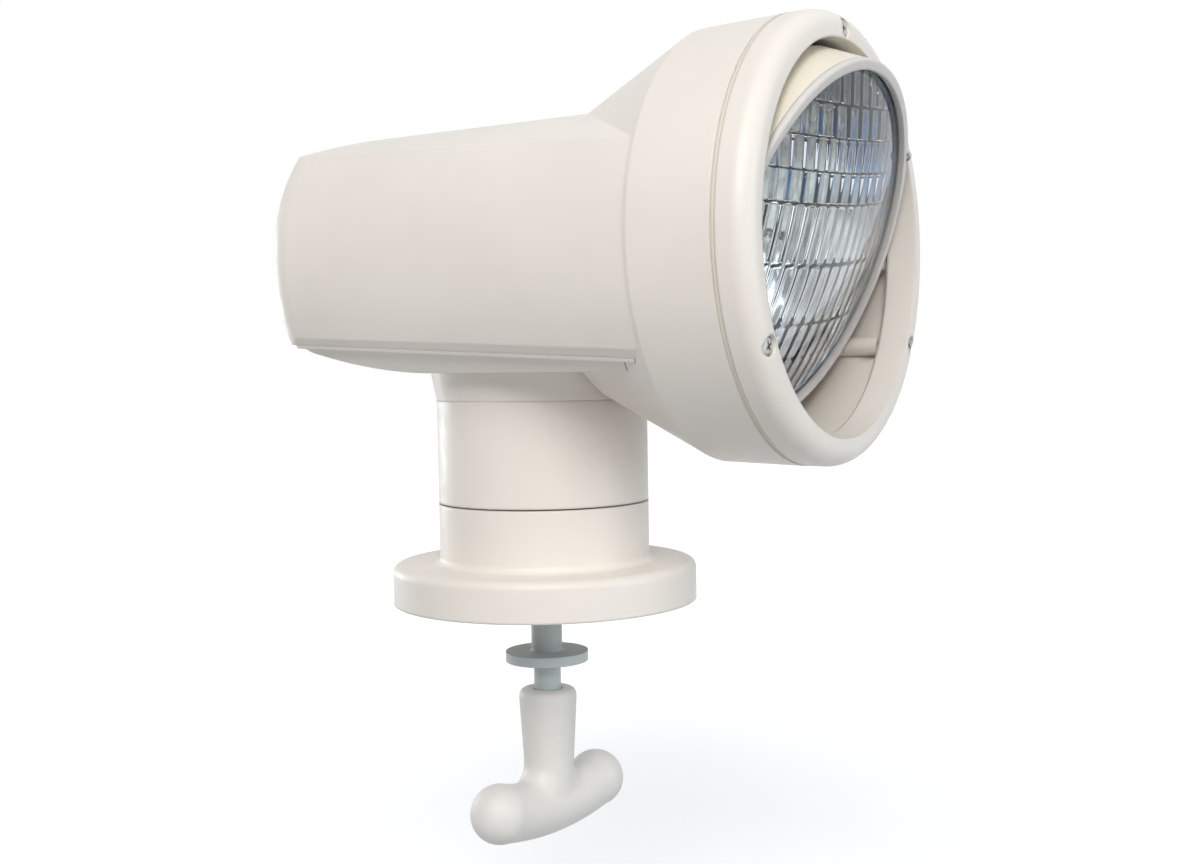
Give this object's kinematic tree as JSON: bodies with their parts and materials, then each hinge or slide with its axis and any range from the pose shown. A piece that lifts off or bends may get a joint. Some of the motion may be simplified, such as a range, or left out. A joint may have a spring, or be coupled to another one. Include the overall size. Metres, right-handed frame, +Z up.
{
  "type": "marine searchlight",
  "caption": "Roof-mounted marine searchlight: a bell head with a round lamp that tilts inside it, on a swivelling column steered from below by a push-pull T-handle.",
  "frame": {"origin": "centre of the flange's deck face, on the pan axis", "axes": "+Z up along the pan axis, +X along the beam with the head at its middle heading"},
  "size_m": [0.2604, 0.174, 0.3404],
  "materials": {
    "white_moulding": "satin off-white moulding",
    "cream_moulding": "satin cream moulding",
    "rubber_seal": "matt black rubber",
    "stainless": "plain stainless steel",
    "light_alloy": "satin anodised",
    "rod_enamel": "pale grey enamel",
    "brass_turned": "turned brass",
    "nylon_bearing": "natural nylon",
    "lens_glass": "clear pressed glass",
    "mirror_coat": "bright vacuum coating"
  },
  "bodies": {
    "base": {"base_flange": "white_moulding", "deck_gasket": "rubber_seal", "deck_inserts": "brass_turned", "cable_grommet": "rubber_seal", "rod_seal": "rubber_seal", "thrust_washer": "nylon_bearing", "wave_washer": "stainless", "ring_nut": "brass_turned"},
    "head": {"turret_column": "white_moulding", "pan_bush": "nylon_bearing", "turret_screws": "stainless", "lower_shell": "white_moulding", "drive_bush": "nylon_bearing", "upper_shell": "white_moulding", "shell_screws": "stainless", "front_ring": "white_moulding", "front_ring_seal": "rubber_seal", "front_ring_screws": "stainless", "pivot_bushes": "nylon_bearing"},
    "lamp": {"lamp_carrier": "cream_moulding", "trunnion_pins": "stainless", "lamp_cushion": "rubber_seal", "lamp_mirror": "mirror_coat", "lamp_lens": "lens_glass", "lamp_filament": "stainless", "lamp_terminals": "brass_turned", "clamp_ring": "white_moulding", "clamp_screw": "stainless", "tilt_strap": "light_alloy", "strap_screws": "stainless"},
    "control": {"control_rod": "rod_enamel", "push_arm": "light_alloy", "arm_nut": "stainless", "drive_pin": "stainless", "pin_clips": "stainless", "t_handle": "white_moulding", "handle_pin": "stainless"},
    "sleeve": {"deck_sleeve": "white_moulding"}
  },
  "joints": [
    {"name": "pan", "type": "hinge", "parent": "base", "child": "head", "pos_m": [0, 0, 0.043], "axis": [0, 0, 1], "range_deg": [-180, 180]},
    {"name": "handle_slide", "type": "slide", "parent": "head", "child": "control", "axis": [0, 0, 1], "range_m": [-0.05788, 0]},
    {"name": "lamp_tilt", "type": "hinge", "parent": "head", "child": "lamp", "pos_m": [0.124, 0, 0.1485], "axis": [0, -1, 0], "range_deg": [0, 41.3]},
    {"name": "sleeve_slide", "type": "slide", "parent": "base", "child": "sleeve", "axis": [0, 0, 1], "range_m": [-0.01, 0.02]}
  ],
  "couplings": [
    {"joint": "lamp_tilt", "follows": "handle_slide", "rad_per_m": -12.422}
  ]
}
